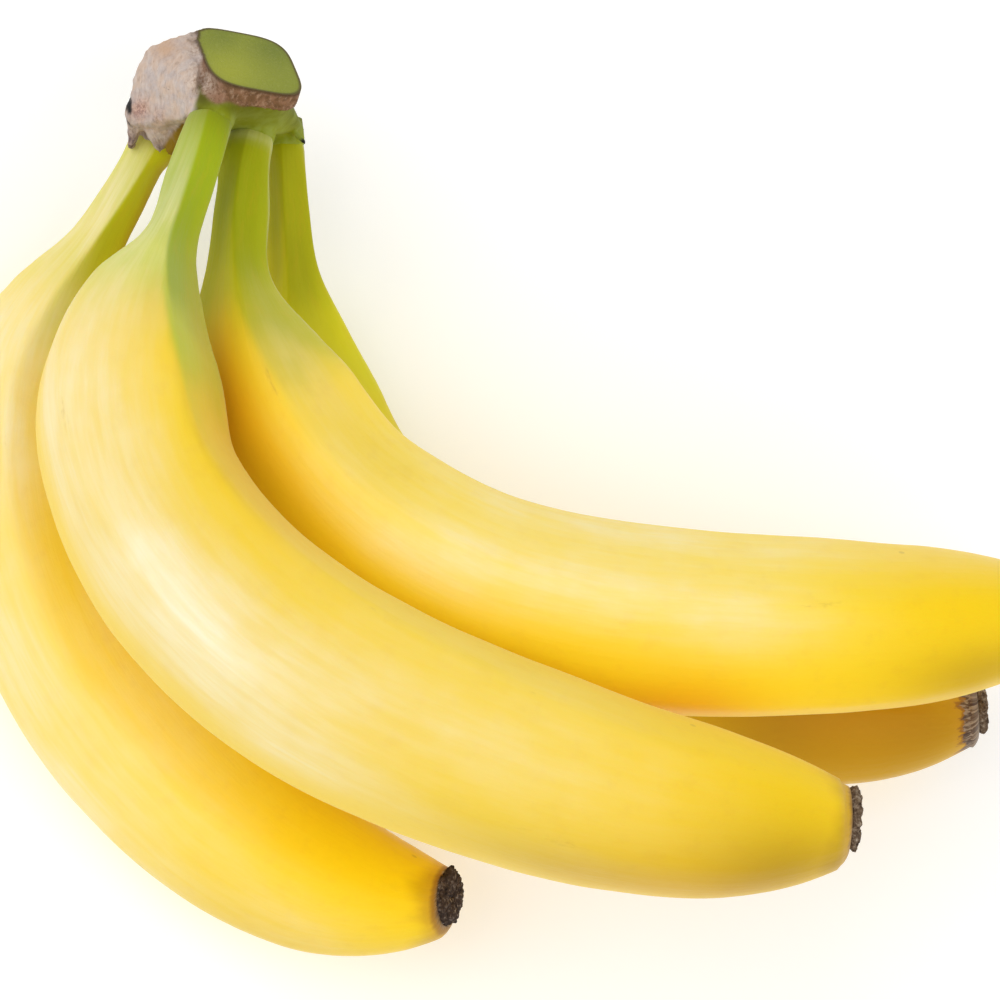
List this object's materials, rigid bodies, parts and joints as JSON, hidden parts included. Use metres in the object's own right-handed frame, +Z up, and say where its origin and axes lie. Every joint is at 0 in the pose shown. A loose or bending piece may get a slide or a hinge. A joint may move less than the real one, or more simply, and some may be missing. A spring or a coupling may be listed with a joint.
{
  "type": "bunch of bananas",
  "caption": "Hand of ripe yellow bananas joined at a cut brown crown, lying on its side, with green stalks and dark dry tips.",
  "frame": {"origin": "under the middle of the bunch's box, on the surface it lies on", "axes": "+Z up from the surface, +X from the outer banana's belly towards the tips, +Y towards the crown"},
  "size_m": [0.2151, 0.1754, 0.0884],
  "materials": {
    "peel": "satin",
    "crown": "matte",
    "blossom_end": "matte"
  },
  "bodies": {
    "root": {"crown": "crown", "banana_left": "peel", "banana_front": "peel", "banana_right": "peel", "banana_back": "peel", "blossom_end_left": "blossom_end", "blossom_end_front": "blossom_end", "blossom_end_right": "blossom_end", "blossom_end_back": "blossom_end"}
  },
  "joints": []
}
